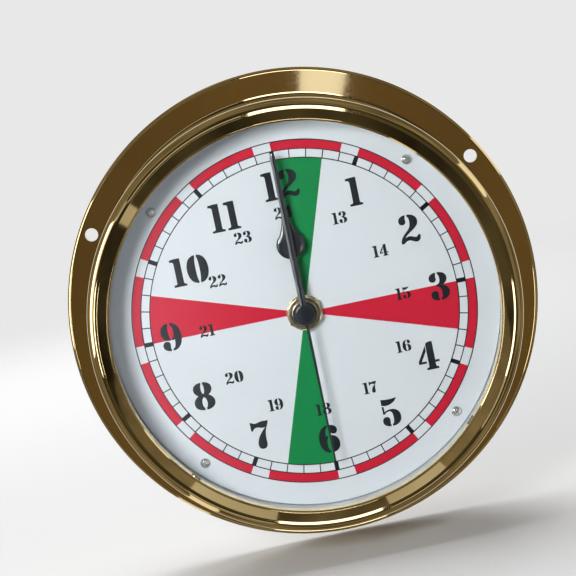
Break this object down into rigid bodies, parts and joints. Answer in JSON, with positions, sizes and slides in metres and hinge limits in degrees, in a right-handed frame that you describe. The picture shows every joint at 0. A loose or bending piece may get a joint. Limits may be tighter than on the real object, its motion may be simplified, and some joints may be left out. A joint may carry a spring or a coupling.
{
  "type": "radio room clock",
  "caption": "Round brass bulkhead clock with a white 24-hour dial, coloured silence sectors, black hands, screw-on glazed bezel and battery quartz movement.",
  "frame": {"origin": "centre of the base flange's back, on the wall plane", "axes": "+Z towards twelve o'clock, +Y into the wall, so the dial faces -Y"},
  "size_m": [0.15, 0.0398, 0.15],
  "materials": {
    "polished_brass": "polished and lacquered",
    "plain_brass": "satin",
    "clear_glass": "clear",
    "black_rubber": "matt",
    "dial_white": "satin white enamel with black, red and green print",
    "ring_white": "matt white",
    "bright_steel": "bright",
    "dull_steel": "dull",
    "hand_black": "gloss black paint",
    "black_plastic": "satin black",
    "white_plastic": "natural white",
    "copper_wire": "enamelled copper",
    "circuit_board": "bare laminate",
    "battery_wrap": "plain printed wrap"
  },
  "bodies": {
    "case": {"case_body": "polished_brass", "dial_seat_ring": "plain_brass", "rear_cover": "plain_brass", "centre_bush": "plain_brass", "brass_washer": "plain_brass", "fixing_nut": "plain_brass", "rubber_washer": "black_rubber", "dial_plate": "dial_white", "dial_surround_ring": "ring_white", "dial_screw_1": "bright_steel", "dial_screw_2": "bright_steel", "dial_screw_3": "bright_steel", "dial_screw_4": "bright_steel", "rear_cover_screw_1": "bright_steel", "rear_cover_screw_2": "bright_steel", "rear_cover_screw_3": "bright_steel", "rear_cover_screw_4": "bright_steel", "battery_contact_positive": "bright_steel", "battery_contact_negative": "bright_steel", "stator": "dull_steel", "coil_core": "dull_steel", "quartz_crystal": "dull_steel", "movement_front_case": "black_plastic", "movement_rear_case": "black_plastic", "timer_chip": "black_plastic", "train_plate": "white_plastic", "coil_bobbin": "white_plastic", "coil_winding": "copper_wire", "circuit_board": "circuit_board"},
    "glass": {"front_glass": "clear_glass", "bezel_gasket": "black_rubber"},
    "bezel": {"bezel_ring": "polished_brass"},
    "minutes": {"minute_cannon": "white_plastic", "minute_hand": "hand_black"},
    "minute_wheel": {"minute_wheel": "white_plastic"},
    "hours": {"hour_wheel": "white_plastic", "hour_hand": "hand_black"},
    "setting_knob": {"setting_knob": "white_plastic"},
    "seconds": {"seconds_wheel": "white_plastic", "second_hand": "hand_black", "second_hand_tube": "plain_brass"},
    "intermediate_wheel": {"intermediate_wheel": "white_plastic"},
    "rotor": {"rotor_pinion": "white_plastic", "rotor_magnet": "dull_steel"},
    "third_wheel": {"third_wheel": "white_plastic"},
    "centre_wheel": {"centre_wheel": "white_plastic"},
    "battery": {"battery": "battery_wrap"}
  },
  "joints": [
    {"name": "minute_hand_turn", "type": "hinge", "parent": "case", "child": "minutes", "pos_m": [0, -0.0213, 0], "axis": [0, 1, 0], "continuous": true},
    {"name": "minute_wheel_turn", "type": "hinge", "parent": "case", "child": "minute_wheel", "pos_m": [0, -0.0182, 0.0096], "axis": [0, 1, 0], "continuous": true},
    {"name": "hour_hand_turn", "type": "hinge", "parent": "case", "child": "hours", "pos_m": [0, -0.0235, 0], "axis": [0, 1, 0], "continuous": true},
    {"name": "setting_knob_turn", "type": "hinge", "parent": "case", "child": "setting_knob", "pos_m": [-0.00679, -0.0106, 0.01639], "axis": [0, 1, 0], "continuous": true},
    {"name": "second_hand_turn", "type": "hinge", "parent": "case", "child": "seconds", "pos_m": [0, -0.0196, 0], "axis": [0, 1, 0], "continuous": true},
    {"name": "intermediate_wheel_turn", "type": "hinge", "parent": "case", "child": "intermediate_wheel", "pos_m": [0.00868, -0.0122, 0.00316], "axis": [0, 1, 0], "continuous": true},
    {"name": "rotor_turn", "type": "hinge", "parent": "case", "child": "rotor", "pos_m": [0.01228, -0.0122, 0.00939], "axis": [0, 1, 0], "continuous": true},
    {"name": "third_wheel_turn", "type": "hinge", "parent": "case", "child": "third_wheel", "pos_m": [-0.00795, -0.0122, 0.00459], "axis": [0, 1, 0], "continuous": true},
    {"name": "centre_wheel_turn", "type": "hinge", "parent": "case", "child": "centre_wheel", "pos_m": [0, -0.0136, 0], "axis": [0, 1, 0], "continuous": true},
    {"name": "bezel_lift", "type": "slide", "parent": "case", "child": "glass", "axis": [0, -1, 0], "range_m": [0, 0.005]},
    {"name": "bezel_turn", "type": "hinge", "parent": "glass", "child": "bezel", "pos_m": [0, -0.0334, 0], "axis": [0, -1, 0], "range_deg": [0, 1440]},
    {"name": "battery_slide", "type": "slide", "parent": "case", "child": "battery", "axis": [0, 1, 0], "range_m": [0, 0.015]}
  ],
  "couplings": [
    {"joint": "minute_wheel_turn", "follows": "minute_hand_turn", "ratio": -0.33333},
    {"joint": "hour_hand_turn", "follows": "minute_hand_turn", "ratio": 0.083333},
    {"joint": "setting_knob_turn", "follows": "minute_hand_turn", "ratio": 1},
    {"joint": "intermediate_wheel_turn", "follows": "second_hand_turn", "ratio": -6},
    {"joint": "rotor_turn", "follows": "second_hand_turn", "ratio": 30},
    {"joint": "third_wheel_turn", "follows": "second_hand_turn", "ratio": -0.13333},
    {"joint": "centre_wheel_turn", "follows": "second_hand_turn", "ratio": 0.016667},
    {"joint": "bezel_lift", "follows": "bezel_turn", "m_per_rad": 0.0001989}
  ]
}
